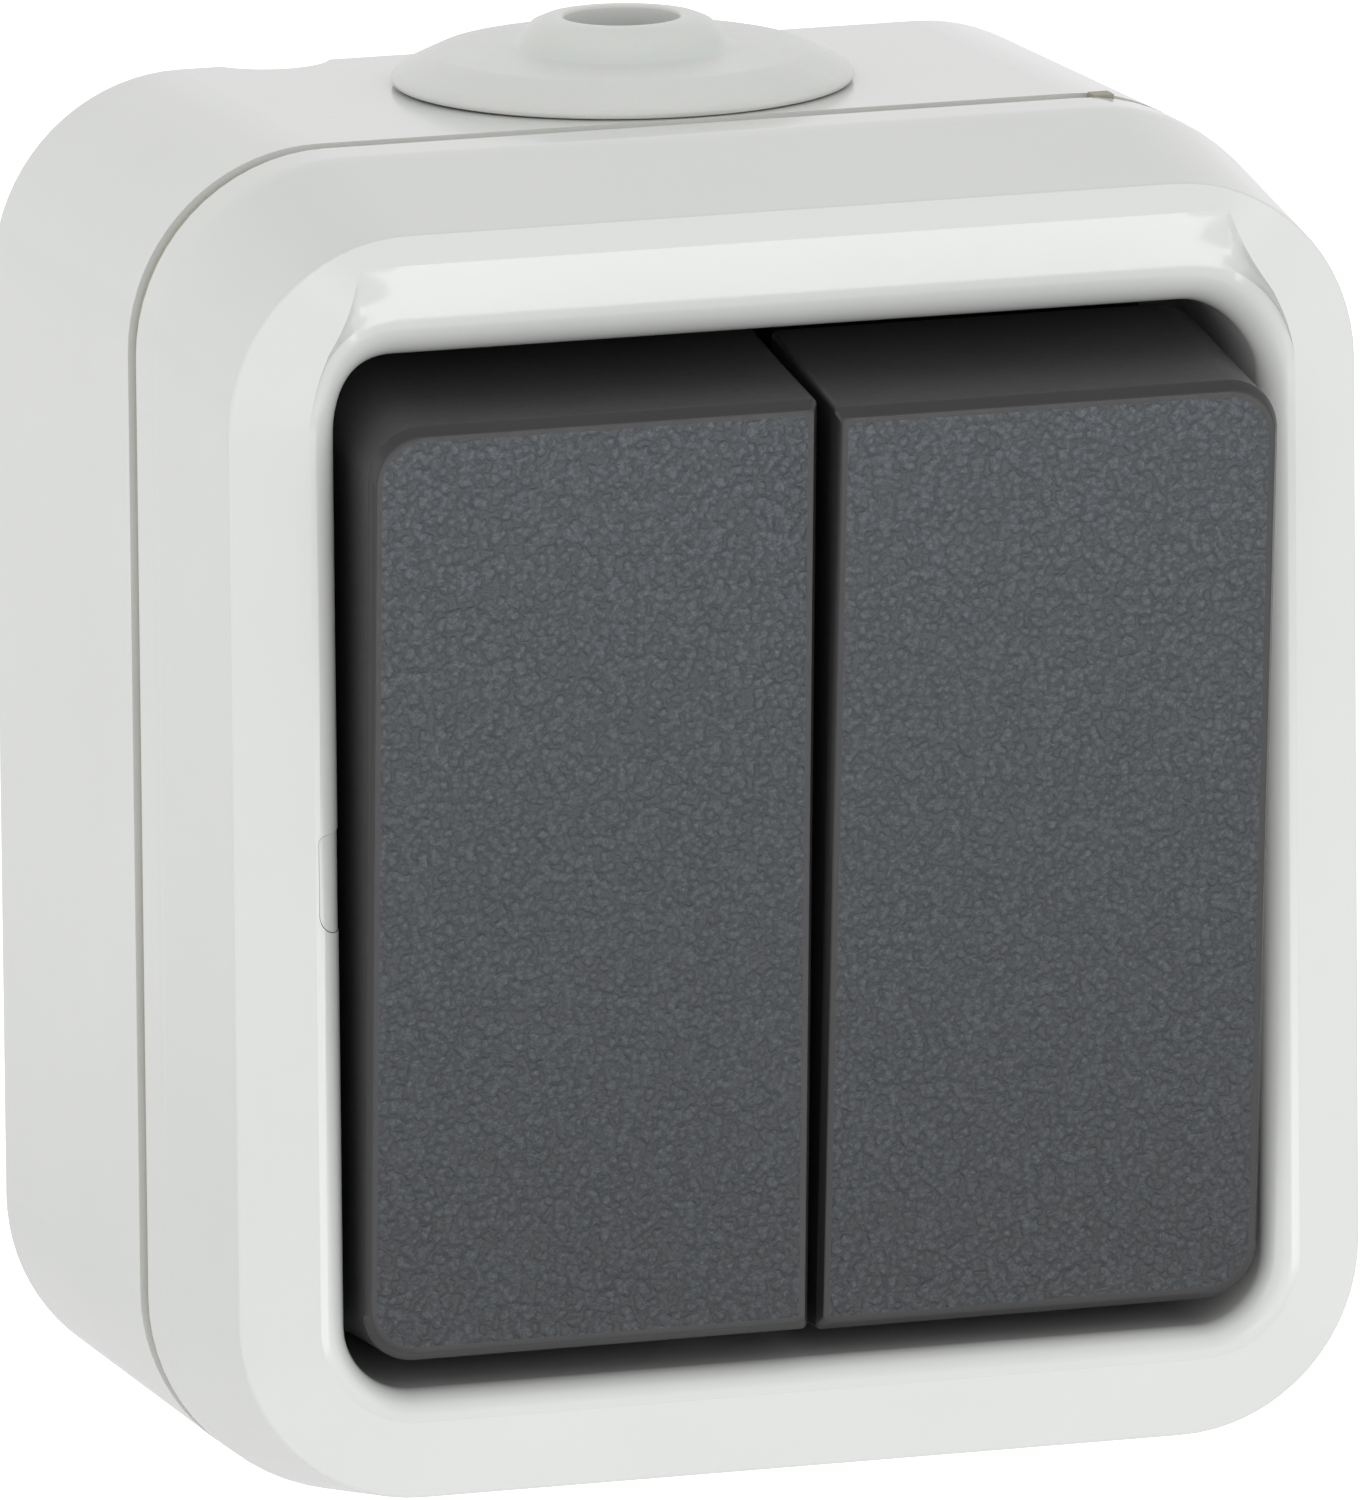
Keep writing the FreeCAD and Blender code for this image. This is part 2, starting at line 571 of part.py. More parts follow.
def make_plunger(word, side, tilt):
    across = side * D.gang_offset
    centre = D.plunger_reach - D.plunger_tip
    head = rod(f"plunger_head_{word}", "forward", D.plunger_head, 2.2, across, -8.95, 0)
    shaft = rod(f"plunger_shaft_{word}", "forward", D.plunger_tip, centre - 8.0, across, -centre, 0)
    tip = ball(f"plunger_ball_{word}", D.plunger_tip, across, -centre, 0)
    plunger = join(f"plunger_{word}", [head, shaft, tip])
    place(plunger, D.pivot_depth, tilt)
    keep(f"plunger_{word}", plunger)


def make_spring(word, side, tilt):
    """A round-wire compression spring of five turns inside the lever's bore."""
    length = D.spring_rear - D.spring_front
    helix = doc.addObject("Part::Helix", f"spring_line_{word}")
    bind(helix, "Radius", D.spring_radius)
    bind(helix, "Height", length)
    bind(helix, "Pitch", length / 5)
    helix.Placement = FreeCAD.Placement(FreeCAD.Vector(), AXES["forward"])
    wire = doc.addObject("Part::Circle", f"spring_wire_{word}")
    bind(wire, "Radius", D.spring_wire)
    bind(wire, "Placement.Base.x", D.spring_radius)
    sweep = doc.addObject("Part::Sweep", f"spring_sweep_{word}")
    sweep.Sections, sweep.Spine = [wire], (helix, ["Edge1"])
    sweep.Solid, sweep.Frenet = True, True
    bind(sweep, "Placement.Base.x", side * D.gang_offset)
    bind(sweep, "Placement.Base.y", D.spring_rear)
    spring = group(f"spring_{word}", [sweep])
    place(spring, D.pivot_depth, tilt)
    keep(f"snap_spring_{word}", spring)


# ---------------------------------------------------------------- contact see-saw, about its knife edge
def make_seesaw(word, side, tilt):
    """The see-saw leans the other way from its rocker."""
    across = side * D.gang_offset
    half = D.seesaw_width / 2
    strip = block(f"seesaw_strip_{word}", (across - half, across + half), (0.05, 1.05),
                  (-D.seesaw_half, D.seesaw_half))
    cradle = rod(f"seesaw_cradle_{word}", "across", D.nose_radius + D.running_gap, 6.0, across - 3.0, 0, 0)
    seesaw = cut(f"seesaw_{word}", strip, [cradle])
    rivet = rod(f"seesaw_rivet_{word}", "forward", D.contact_radius, 0.5, across, -0.5, -D.contact_up)
    contact = group(f"moving_contact_{word}_shape", [rivet])
    lean = -(D.seesaw_ratio * tilt)
    for thing in (seesaw, contact):
        place(thing, D.seesaw_depth, lean)
    keep(f"contact_seesaw_{word}", seesaw)
    keep(f"moving_contact_{word}", contact)


# ---------------------------------------------------------------- fixed mechanism
def make_base():
    front = D.base_front
    solid = block("base_solid", (-D.base_half_width, D.base_half_width), (D.base_rear, front),
                  (-D.base_half_height, D.base_half_height))
    floor = D.strip_depth
    tools = [
        block("common_channel", (-12.5, 12.5), (floor, front + 1), (-1.8, 1.8)),
        block("common_leg_channel", (-2.3, 2.3), (floor, front + 1), (-22, 0)),
        block("common_cell", (-4.2, 4.2), (D.terminal_rear, front + 1), (-22, -12.6)),
    ]
    for word, side in SIDES:
        chamber = span(side, D.gang_offset - 2.6, D.gang_offset + 2.6)
        channel = span(side, 6.4, 19.2)
        cell = span(side, D.terminal_across - 4.2, D.terminal_across + 4.2)
        tools += [
            block(f"seesaw_chamber_{word}", chamber, (floor, front + 1), (-11.5, 11.5)),
            block(f"output_channel_{word}", channel, (floor, front + 1), (-11.4, -6.4)),
            block(f"output_cell_{word}", cell, (D.terminal_rear, front + 1), (-22, -10.5)),
        ]
    keep("mechanism_base", cut("base", solid, tools))


def make_lid():
    """The mechanism's front cover: it also holds the rocker shaft and stops the rockers."""
    rear, front = D.base_front, D.base_front + D.lid_thickness
    pivot, r = D.pivot_depth, D.lug_radius
    plate = block("lid_plate", (-D.lid_half_width, D.lid_half_width), (rear, front),
                  (-D.lid_half_height, D.lid_half_height))
    lug_outside = D.lug_outer + D.lug_thickness
    solids = [plate]
    lugs = (("centre", -D.centre_lug, D.centre_lug), ("left", -lug_outside, -D.lug_outer),
            ("right", D.lug_outer, lug_outside))
    for word, low, high in lugs:
        solids.append(block(f"lug_{word}", (low, high), (rear, pivot), (-r, r)))
        solids.append(rod(f"lug_eye_{word}", "across", r, high - low, low, pivot, 0))
    for word, side in SIDES:
        for level, place_word in ((-1, "low"), (1, "high")):
            low, high = sorted((level * 10.2, level * 12.0))
            solids.append(block(f"stop_{word}_{place_word}", span(side, 17.0, 21.0),
                                (rear, pivot + 2.35), (low, high)))
    tools = [rod("lid_pin_hole", "across", D.pin_radius + 0.02, 60.0, -30.0, pivot, 0)]
    for word, side in SIDES:
        tools.append(block(f"plunger_slot_{word}", span(side, D.gang_offset - 2.6, D.gang_offset + 2.6),
                           (rear - 1, front + 1), (-11.2, 11.2)))
    for word, across in (("left", -D.terminal_across), ("middle", as_dim(0)), ("right", D.terminal_across)):
        tools.append(rod(f"screw_access_{word}", "forward", 2.6, 6.0, across, rear - 1, -D.terminal_up))
    for word, level in (("low", -1), ("high", 1)):
        tools.append(rod(f"lid_hole_{word}", "forward", 1.8, 6.0, 0, rear - 1, level * D.post_height))
    keep("mechanism_cover", cut("lid", join("lid_solid", solids), tools))


def make_shaft():
    length = D.pin_length - 0.8
    pin = rod("shaft_pin", "across", D.pin_radius, length, -length / 2, D.pivot_depth, 0)
    keep("rocker_shaft", group("shaft", [pin]))


def make_screw(word, across, depth, up, head_radius, head_height, shank_radius, shank_length):
    """A slotted pan-head screw whose head sits in front of a depth."""
    head = rod(f"{word}_head", "forward", head_radius, head_height, across, depth, up)
    shank = rod(f"{word}_shank", "forward", shank_radius, shank_length,
                across, as_dim(depth) - shank_length, up)
    slot = block(f"{word}_slot", (as_dim(across) - head_radius, as_dim(across) + head_radius),
                 (as_dim(depth) + head_height - 0.9, as_dim(depth) + head_height + 1),
                 (as_dim(up) - 0.4, as_dim(up) + 0.4))
    return cut(f"{word}_screw", join(f"{word}_blank", [head, shank]), [slot])


def screw_hole(word, across):
    """The hole a terminal screw passes through in its strip."""
    return rod(f"{word}_screw_hole", "forward", D.terminal_screw, 3.0,
               across, D.strip_depth - 1.0, -D.terminal_up)


def make_contacts():
    rear, front = D.strip_depth, D.strip_depth + D.strip_thickness
    terminals, screws = [], []
    leg_end = -(D.terminal_up + 3.0)
    bar = [block("common_bar", (-12.0, 12.0), (rear, front), (-1.4, 1.4)),
           block("common_leg", (-1.9, 1.9), (rear, front), (leg_end, 0))]
    for word, side in SIDES:
        x = span(side, D.gang_offset - 1.2, D.gang_offset + 1.2)
        bar.append(block(f"upstand_{word}", x, (rear, D.seesaw_depth), (-D.nose_radius, D.nose_radius)))
        bar.append(rod(f"upstand_nose_{word}", "across", D.nose_radius, 2.4, x[0], D.seesaw_depth, 0))
        gang, out = D.gang_offset, D.terminal_across
        strip = join(f"output_strip_{word}", [
            block(f"output_run_{word}", span(side, gang - 2.0, out + 1.9), (rear, front), (-11.0, -6.9)),
            block(f"output_leg_{word}", span(side, out - 1.9, out + 1.9), (rear, front), (leg_end, -8.0))])
        clamp_hole = screw_hole(f"output_{word}", side * out)
        keep(f"output_strip_{word}", cut(f"output_{word}", strip, [clamp_hole]))
        rivet = rod(f"fixed_rivet_{word}", "forward", D.contact_radius, 0.85, side * gang, front, -8.4)
        keep(f"fixed_contact_{word}", group(f"fixed_contact_{word}_shape", [rivet]))
    keep("common_strip", cut("common", join("common_solid", bar), [screw_hole("common", 0)]))
    for word, across in (("left", -D.terminal_across), ("middle", as_dim(0)), ("right", D.terminal_across)):
        up = -D.terminal_up
        cage = block(f"cage_{word}", (across - 3.6, across + 3.6),
                     (D.terminal_rear + 0.1, rear), (up - 3.4, up + 3.4))
        wire = rod(f"wire_hole_{word}", "up", 1.6, 10.0, across, D.terminal_rear + 3.4, up - 5.0)
        thread = rod(f"thread_{word}", "forward", D.terminal_screw, 10.0, across, D.terminal_rear + 3.4, up)
        terminals.append(cut(f"terminal_{word}", cage, [wire, thread]))
        screws.append(make_screw(f"clamp_{word}", across, front + 0.3, up, 2.4, 1.8, 1.5, 3.4))
    keep("terminal_blocks", group("terminals", terminals))
    keep("terminal_screws", group("clamps", screws))
    fixings = []
    for word, level in (("low", -1), ("high", 1)):
        fixings.append(make_screw(f"fixing_{word}", as_dim(0), D.base_front + D.lid_thickness,
                                  level * D.post_height, 3.0, 2.0, 1.45, 12.0))
    keep("fixing_screws", group("fixings", fixings))


# ---------------------------------------------------------------- build, check and write
make_back_box()
make_gasket()
make_cover()
make_latch()
make_grommet()
for word, side, tilt in (("left", -1, D.left_tilt), ("right", 1, D.right_tilt)):
    make_cap(word, side, tilt)
    make_lever(word, side, tilt)
    make_plunger(word, side, tilt)
    make_spring(word, side, tilt)
    make_seesaw(word, side, tilt)
make_base()
make_lid()
make_shaft()
make_contacts()
doc.recompute()

for thing in doc.Objects:
    if {"Invalid", "Error"} & set(thing.State):
        raise RuntimeError(f"{thing.Name}: {thing.State}")

os.makedirs("parts", exist_ok=True)
for name, thing in nodes.items():
    shape = thing.Shape
    if shape.isNull() or not shape.isValid() or not shape.Solids:
        raise RuntimeError(f"{name}: unsound shape")
    limits = shape.BoundBox
    print(f"{name:24s} {len(shape.Solids)} solids, {shape.Volume:9.1f} mm3, "
          f"x {limits.XMin:.2f} {limits.XMax:.2f}, y {limits.YMin:.2f} {limits.YMax:.2f}, "
          f"z {limits.ZMin:.2f} {limits.ZMax:.2f}")
    shape.exportStep(f"parts/{name}.step")
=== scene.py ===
import json
import math

import bmesh
import bpy
from mathutils import Matrix, Vector


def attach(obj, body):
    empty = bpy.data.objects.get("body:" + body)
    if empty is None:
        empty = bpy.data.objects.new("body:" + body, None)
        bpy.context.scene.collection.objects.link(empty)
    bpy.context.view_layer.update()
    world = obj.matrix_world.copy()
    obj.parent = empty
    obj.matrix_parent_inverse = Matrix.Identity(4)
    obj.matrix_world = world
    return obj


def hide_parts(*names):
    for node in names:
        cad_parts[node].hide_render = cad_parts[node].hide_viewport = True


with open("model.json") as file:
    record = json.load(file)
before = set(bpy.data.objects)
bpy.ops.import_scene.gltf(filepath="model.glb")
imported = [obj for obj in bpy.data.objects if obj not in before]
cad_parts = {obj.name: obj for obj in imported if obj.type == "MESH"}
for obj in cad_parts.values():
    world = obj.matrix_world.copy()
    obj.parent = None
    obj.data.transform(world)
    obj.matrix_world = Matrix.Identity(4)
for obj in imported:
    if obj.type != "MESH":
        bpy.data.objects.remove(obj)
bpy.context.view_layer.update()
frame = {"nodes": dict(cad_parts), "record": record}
MM = 0.001
STEPS = 16          # spans in each rounded corner of an outline
LAND_CORNER = 13    # the span at which the finger land's outline turns its corner

# Sizes in millimetres. "Depth" is the distance from the wall, so a point at depth d has y = -d.
BOX = {"half_width": 33.0, "half_height": 37.5, "corner": 11.05, "depth": 26.3, "wall": 2.2}
COVER = {"rear": 27.7, "band": 31.05, "front": 43.5, "face": 45.3, "side_inset": 0.42, "top_inset": 2.18,
         "corner_inset": 0.55, "edge": 0.2, "wall": 2.0}
WINDOW = {"half_width": 26.7, "low": -29.05, "high": 28.5, "corner": 3.9, "lip": 1.75, "lip_low": 1.6,
          "lip_high": 2.4, "rear": 33.0}
LAND = {"top": 33.75, "depth": 44.0}
LATCH = {"reach": 1.55, "low": -2.94, "high": 2.82, "play": 0.03, "rear": 33.5, "slant": 0.3}
HOOK = {"half_height": 4, "rear": 22.4, "barb_front": 24.0, "front": 32.0, "thickness": 1.5, "barb": 0.8}
PIVOT_DEPTH = 35.0
CAP = {"inner": 0.38, "outer": 26.1, "rear": 0.8, "front": 12.4, "rear_half": 27.82, "front_half": 26.45,
       "corner": 3.0, "chamfer": 0.5, "side_chamfer": 0.3, "wall": 1.5, "front_wall": 2.0, "border": 0.35}
# Ribs behind a cap's face: inner and outer height, and how far their rear stands in front of the shaft.
RIBS = ((7.5, 9.5, 5.65), (12.1, 13.4, 2.9))
TILT = {"left": 3.4, "right": 5.2}    # degrees, top pressed in
GROMMET = {"depth": 13.3, "rim": 12.93, "hole": 3.27, "throat": 10.1, "spans": 128}


# ---------------------------------------------------------------- materials
def new_material(name, roughness, specular=0.5, metallic=0.0, subsurface=0.0):
    material = bpy.data.materials.new(name)
    material.use_nodes = True
    shader = material.node_tree.nodes["Principled BSDF"]
    shader.inputs["Roughness"].default_value = roughness
    shader.inputs["Specular IOR Level"].default_value = specular
    shader.inputs["Metallic"].default_value = metallic
    if subsurface:
        shader.inputs["Subsurface Weight"].default_value = subsurface
        shader.inputs["Subsurface Scale"].default_value = 0.001
    return material, material.node_tree, shader


def node(tree, kind, **settings):
    made = tree.nodes.new(kind)
    for key, value in settings.items():
        if key in made.inputs:
            made.inputs[key].default_value = value
        else:
            setattr(made, key, value)
    return made


def noise(tree, scale, detail=4.0, roughness=0.5, stretch=(1, 1, 1)):
    """Noise with about this many features per millimetre."""
    place = node(tree, "ShaderNodeTexCoord")
    mapping = node(tree, "ShaderNodeMapping")
    mapping.inputs["Scale"].default_value = [1000 * s for s in stretch]
    texture = node(tree, "ShaderNodeTexNoise", Scale=scale, Detail=detail, Roughness=roughness)
    tree.links.new(place.outputs["Object"], mapping.inputs["Vector"])
    tree.links.new(mapping.outputs["Vector"], texture.inputs["Vector"])
    return texture.outputs["Fac"], mapping.outputs["Vector"]


def mapped(tree, value, source, result):
    """A value mapped from one span to another."""
    remap = node(tree, "ShaderNodeMapRange")
    for socket, number in zip(("From Min", "From Max", "To Min", "To Max"), (*source, *result)):
        remap.inputs[socket].default_value = number
    tree.links.new(value, remap.inputs["Value"])
    return remap.outputs["Result"]


def spread(tree, value, low, high, target):
    """Maps a texture value from its usual span to low..high on a socket."""
    tree.links.new(mapped(tree, value, (0.3, 0.7), (low, high)), target)


def tint(tree, value, dark, light, shader):
    """Colours a surface from dark to light along a texture value."""
    ramp = node(tree, "ShaderNodeValToRGB")
    ramp.color_ramp.elements[0].position = 0.3
    ramp.color_ramp.elements[1].position = 0.7
    ramp.color_ramp.elements[0].color = (*dark, 1)
    ramp.color_ramp.elements[1].color = (*light, 1)
    tree.links.new(value, ramp.inputs["Fac"])
    tree.links.new(ramp.outputs["Color"], shader.inputs["Base Color"])


def relief(tree, value, height, shader):
    """Bump of a height in millimetres."""
    bump = node(tree, "ShaderNodeBump", Strength=1.0, Distance=height * MM)
    tree.links.new(value, bump.inputs["Height"])
    tree.links.new(bump.outputs["Normal"], shader.inputs["Normal"])


def moulded(name, colour, roughness, vary=0.012, grain=0.004, grain_scale=2.2, cloud=0.09, **more):
    """Moulded plastic: faint cloudy tone, uneven gloss and a very fine surface texture."""
    material, tree, shader = new_material(name, roughness, **more)
    clouds, _ = noise(tree, cloud, 5.0, 0.6)
    tint(tree, clouds, [c * (1 - vary) for c in colour], [min(1, c * (1 + vary)) for c in colour], shader)
    fine, _ = noise(tree, grain_scale, 3.0, 0.6)
    spread(tree, fine, roughness * 0.9, roughness * 1.12, shader.inputs["Roughness"])
    relief(tree, fine, grain, shader)
    return material


def pebbled(name, colour):
    """The rocker's face: a dense leather-like grain of cells a few tenths of a millimetre across."""
    material, tree, shader = new_material(name, 0.46)
    fine, place = noise(tree, 2.6, 2.0, 0.6)
    drift = node(tree, "ShaderNodeTexNoise", Scale=1.9, Detail=2.0)
    bent = node(tree, "ShaderNodeMix", data_type="VECTOR")
    bent.inputs["Factor"].default_value = 0.3
    tree.links.new(place, drift.inputs["Vector"])
    tree.links.new(place, bent.inputs["A"])
    tree.links.new(drift.outputs["Color"], bent.inputs["B"])
    cells = node(tree, "ShaderNodeTexVoronoi", feature="SMOOTH_F1", Scale=2.9, Smoothness=0.15)
    tree.links.new(bent.outputs["Result"], cells.inputs["Vector"])
    grain = node(tree, "ShaderNodeMix", data_type="FLOAT")
    grain.inputs["Factor"].default_value = 0.3
    tree.links.new(mapped(tree, cells.outputs["Distance"], (0.1, 0.8), (1.0, 0.0)), grain.inputs["A"])
    tree.links.new(fine, grain.inputs["B"])
    height = grain.outputs["Result"]
    # Painted shade: the colour follows the grain's height, darker in the cracks between cells.
    tint(tree, height, [c * 0.75 for c in colour], [c * 1.2 for c in colour], shader)
    spread(tree, height, 0.5, 0.3, shader.inputs["Roughness"])
    relief(tree, height, 0.36, shader)
    # painted light: the face's colour is scaled paler towards its top
    painted_light_upwards(tree, shader)
    return material


def painted_light_upwards(tree, shader):
    """Painted light: the rocker's face is made a little paler at its top than at its foot."""
    place = node(tree, "ShaderNodeTexCoord")
    split = node(tree, "ShaderNodeSeparateXYZ")
    tree.links.new(place.outputs["Object"], split.inputs["Vector"])
    shade = mapped(tree, split.outputs["Z"], (-26 * MM, 26 * MM), (0.76, 1.34))
    scale = node(tree, "ShaderNodeVectorMath", operation="SCALE")
    tree.links.new(shader.inputs["Base Color"].links[0].from_socket, scale.inputs["Vector"])
    tree.links.new(shade, scale.inputs["Scale"])
    tree.links.new(scale.outputs["Vector"], shader.inputs["Base Color"])


def metal(name, colour, roughness, stretch):
    """Bare metal with fine streaks along its length."""
    material, tree, shader = new_material(name, roughness, metallic=1.0)
    streaks, _ = noise(tree, 1.0, 4.0, 0.6, stretch=stretch)
    tint(tree, streaks, [c * 0.82 for c in colour], colour, shader)
    spread(tree, streaks, roughness * 0.8, roughness * 1.3, shader.inputs["Roughness"])
    relief(tree, streaks, 0.004, shader)
    return material


GREY = (0.655, 0.668, 0.65)
MATERIALS = {
    "housing_grey": moulded("housing plastic", GREY, 0.13, vary=0.01, grain=0.0025),
    "box_grey": moulded("back box plastic", GREY, 0.14, vary=0.012, grain=0.0025),
    "rocker_grey": moulded("rocker plastic", (0.021, 0.0205, 0.022), 0.33, vary=0.08, grain=0.006),
    "rocker_face": pebbled("rocker grain", (0.055, 0.061, 0.068)),
    "gasket_beige": moulded("seal rubber", (0.36, 0.335, 0.27), 0.62, vary=0.07, grain=0.012),
    "grommet_grey": moulded("grommet rubber", (0.66, 0.675, 0.655), 0.34, vary=0.02, grain=0.006,
                            subsurface=0.25),
    "mechanism_black": moulded("mechanism plastic", (0.012, 0.011, 0.011), 0.5, vary=0.15, grain=0.01),
    "lever_white": moulded("lever plastic", (0.55, 0.54, 0.5), 0.42, vary=0.04, grain=0.006),
    "steel": metal("zinc plated steel", (0.62, 0.62, 0.6), 0.32, (0.15, 3, 3)),
    "brass": metal("brass strip", (0.72, 0.55, 0.25), 0.28, (0.2, 2, 2)),
    "silver": metal("silver contact", (0.86, 0.85, 0.82), 0.22, (2, 2, 2)),
}


# ---------------------------------------------------------------- mesh building
def outline(left, right, low, high, radii, depth, steps=STEPS):
    """A closed rounded rectangle, lower left corner first and anticlockwise, as (x, depth, z)."""
    centres = ((left, low, 1, 1), (right, low, -1, 1), (right, high, -1, -1), (left, high, 1, -1))
    points = []
    for i, (x, z, inward_x, inward_z) in enumerate(centres):
        r = max(radii[i], 0.02)
        for k in range(steps + 1):
            a = math.pi * (1 + i / 2) + math.pi / 2 * k / steps
            points.append((x + inward_x * r + r * math.cos(a), depth, z + inward_z * r + r * math.sin(a)))
    return points


def centred(half_width, half_height, radius, depth):
    return outline(-half_width, half_width, -half_height, half_height, [radius] * 4, depth)


class Skin:
    """Loops of points joined by quads, collected in one mesh."""

    def __init__(self):
        self.mesh = bmesh.new()

    def loop(self, points):
        return [self.mesh.verts.new((x * MM, -depth * MM, z * MM)) for x, depth, z in points]

    def band(self, first, second, slot=0):
        count = len(first)
        for i in range(count):
            j = (i + 1) % count
            face = self.mesh.faces.new((first[i], first[j], second[j], second[i]))
            face.material_index = slot

    def cap(self, loop, slot=0):
        self.mesh.faces.new(loop).material_index = slot

    def run(self, loops, start_cap=False, end_cap=False, ring=False, slot=0):
        rows = [self.loop(points) for points in loops]
        for first, second in zip(rows, rows[1:]):
            self.band(first, second, slot)
        if ring:
            self.band(rows[-1], rows[0], slot)
        if start_cap:
            self.cap(rows[0], slot)
        if end_cap:
            self.cap(rows[-1], slot)
        return rows

    def box(self, low, high):
        """A block between two corners given as (x, depth, z)."""
        (x0, d0, z0), (x1, d1, z1) = low, high
        near = [(x0, d1, z0), (x1, d1, z0), (x1, d1, z1), (x0, d1, z1)]
        far = [(x, d0, z) for x, _, z in near]
        self.run([near, far], start_cap=True, end_cap=True)

    def finish(self, name, materials, body, nodes=(), bevel=0.0, limit=32, turn=0.0, cutters=()):
        """Makes the object: edges softened, flats kept flat, ready to ride on its body."""
        bmesh.ops.recalc_face_normals(self.mesh, faces=self.mesh.faces)
        data = bpy.data.meshes.new(name)
        self.mesh.to_mesh(data)
        self.mesh.free()
        for material in materials:
            data.materials.append(MATERIALS[material])
        made = bpy.data.objects.new(name, data)
        bpy.context.scene.collection.objects.link(made)
        for cutter in cutters:
            cut = made.modifiers.new("cut", "BOOLEAN")
            cut.operation, cut.solver, cut.object = "DIFFERENCE", "EXACT", cutter
        if bevel:
            soften = made.modifiers.new("soft edges", "BEVEL")
            soften.width, soften.segments, soften.limit_method = bevel * MM, 2, "ANGLE"
            soften.angle_limit, soften.use_clamp_overlap = math.radians(limit), True
        made.modifiers.new("flat flats", "WEIGHTED_NORMAL").keep_sharp = True
        for polygon in data.polygons:
            polygon.use_smooth = True
        graph = bpy.context.evaluated_depsgraph_get()
        final = bpy.data.meshes.new_from_object(made.evaluated_get(graph))
        made.modifiers.clear()
        made.data = final
        bpy.data.meshes.remove(data)
        for cutter in cutters:
            bpy.data.objects.remove(cutter)
        if turn:
            pivot = Matrix.Translation((0, -PIVOT_DEPTH * MM, 0))
            final.transform(pivot @ Matrix.Rotation(math.radians(turn), 4, "X") @ pivot.inverted())
        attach(made, body)
        if nodes:
            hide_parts(*nodes)
        return made


def cutter(build):
    """An unshaded solid used once to cut another."""
    skin = Skin()
    build(skin)
    bmesh.ops.recalc_face_normals(skin.mesh, faces=skin.mesh.faces)
    data = bpy.data.meshes.new("cutter")
    skin.mesh.to_mesh(data)
    skin.mesh.free()
    made = bpy.data.objects.new("cutter", data)
    bpy.context.scene.collection.objects.link(made)
    return made


def mix_points(first, second, share, depth_share=None):
    """Points part of the way from one loop to another."""
    depth_share = share if depth_share is None else depth_share
    return [(a[0] + (b[0] - a[0]) * share, a[1] + (b[1] - a[1]) * depth_share, a[2] + (b[2] - a[2]) * share)
            for a, b in zip(first, second)]


# ---------------------------------------------------------------- front cover
def cover_section(depth, inset=0.0):
    """The cover's outside outline at a depth on its long slope."""
    share = max(0.0, (depth - COVER["band"]) / (COVER["front"] - COVER["band"]))
    return (BOX["half_width"] - COVER["side_inset"] * share - inset,
            BOX["half_height"] - COVER["top_inset"] * share - inset,
            BOX["corner"] - COVER["corner_inset"] * share - inset, depth)


def window_outline(share, depth):
    """The window's outline, from its inner edge (share 0) to the outer edge of its rounded lip (1)."""
    side = WINDOW["half_width"] + WINDOW["lip"] * share
    low = WINDOW["low"] - WINDOW["lip_low"] * share
    high = WINDOW["high"] + WINDOW["lip_high"] * share
    return outline(-side, side, low, high, [WINDOW["corner"] + WINDOW["lip"] * share] * 4, depth)


def face_depth(x, z):
    """Depth of the cover's sloping front face, which rises from its outer edge towards the window."""
    half_width, half_height, radius, _ = cover_section(COVER["front"])
    centre_x, centre_z = half_width - radius, half_height - radius
    side_span = half_width - WINDOW["half_width"] - WINDOW["lip"]
    top_span = half_height + WINDOW["low"] - WINDOW["lip_low"]
    beyond_x, beyond_z = abs(x) - centre_x, abs(z) - centre_z
    if beyond_x > 0 and beyond_z > 0:
        turn = math.atan2(beyond_z, beyond_x) / (math.pi / 2)
        inwards, width = radius - math.hypot(beyond_x, beyond_z), side_span + (top_span - side_span) * turn
    elif beyond_z > beyond_x:
        inwards, width = half_height - abs(z), top_span
    else:
        inwards, width = half_width - abs(x), side_span
    return COVER["front"] + (COVER["face"] - COVER["front"]) * max(0.0, min(1.0, inwards / width))


def land_outline():
    """The lip's outer edge on the sloping face: close round the window, wide above it as a finger land."""
    points = window_outline(1, COVER["face"])
    half_width = WINDOW["half_width"] + WINDOW["lip"]
    guide = [(half_width, 25.2), (28.37, 26.1), (28.1, 27.2), (27.75, 28.2), (27.3, 29.2), (26.7, 30.1),
             (26.2, 30.9), (25.78, 31.8), (25.5, 32.5), (25.3, 33.1), (25.1, LAND["top"])]
    lengths = [0.0]
    for (x0, z0), (x1, z1) in zip(guide, guide[1:]):
        lengths.append(lengths[-1] + math.hypot(x1 - x0, z1 - z0))
    for k in range(STEPS + 1):
        target = lengths[-1] * min(1, k / LAND_CORNER)
        i = max(j for j in range(len(guide) - 1) if lengths[j] <= target + 1e-9)
        share = (target - lengths[i]) / (lengths[i + 1] - lengths[i])
        x = guide[i][0] + (guide[i + 1][0] - guide[i][0]) * share - 0.9 * max(0, k - LAND_CORNER)
        z = guide[i][1] + (guide[i + 1][1] - guide[i][1]) * share
        depth = face_depth(x, z)
        points[2 * (STEPS + 1) + k] = (x, depth, z)
        points[4 * (STEPS + 1) - 1 - k] = (-x, depth, z)
    return points


def sunk(points, drop):
    """The same loop, its upper part sunk along the finger land."""
    result = []
    for i, (x, depth, z) in enumerate(points):
        corner = i // (STEPS + 1)
        share = 0.0
        if corner >= 2:
            k = i % (STEPS + 1) if corner == 2 else STEPS - i % (STEPS + 1)
            share = math.sin(math.pi / 2 * min(1, k / LAND_CORNER)) ** 2
        result.append((x, depth - drop * share, z))
    return result


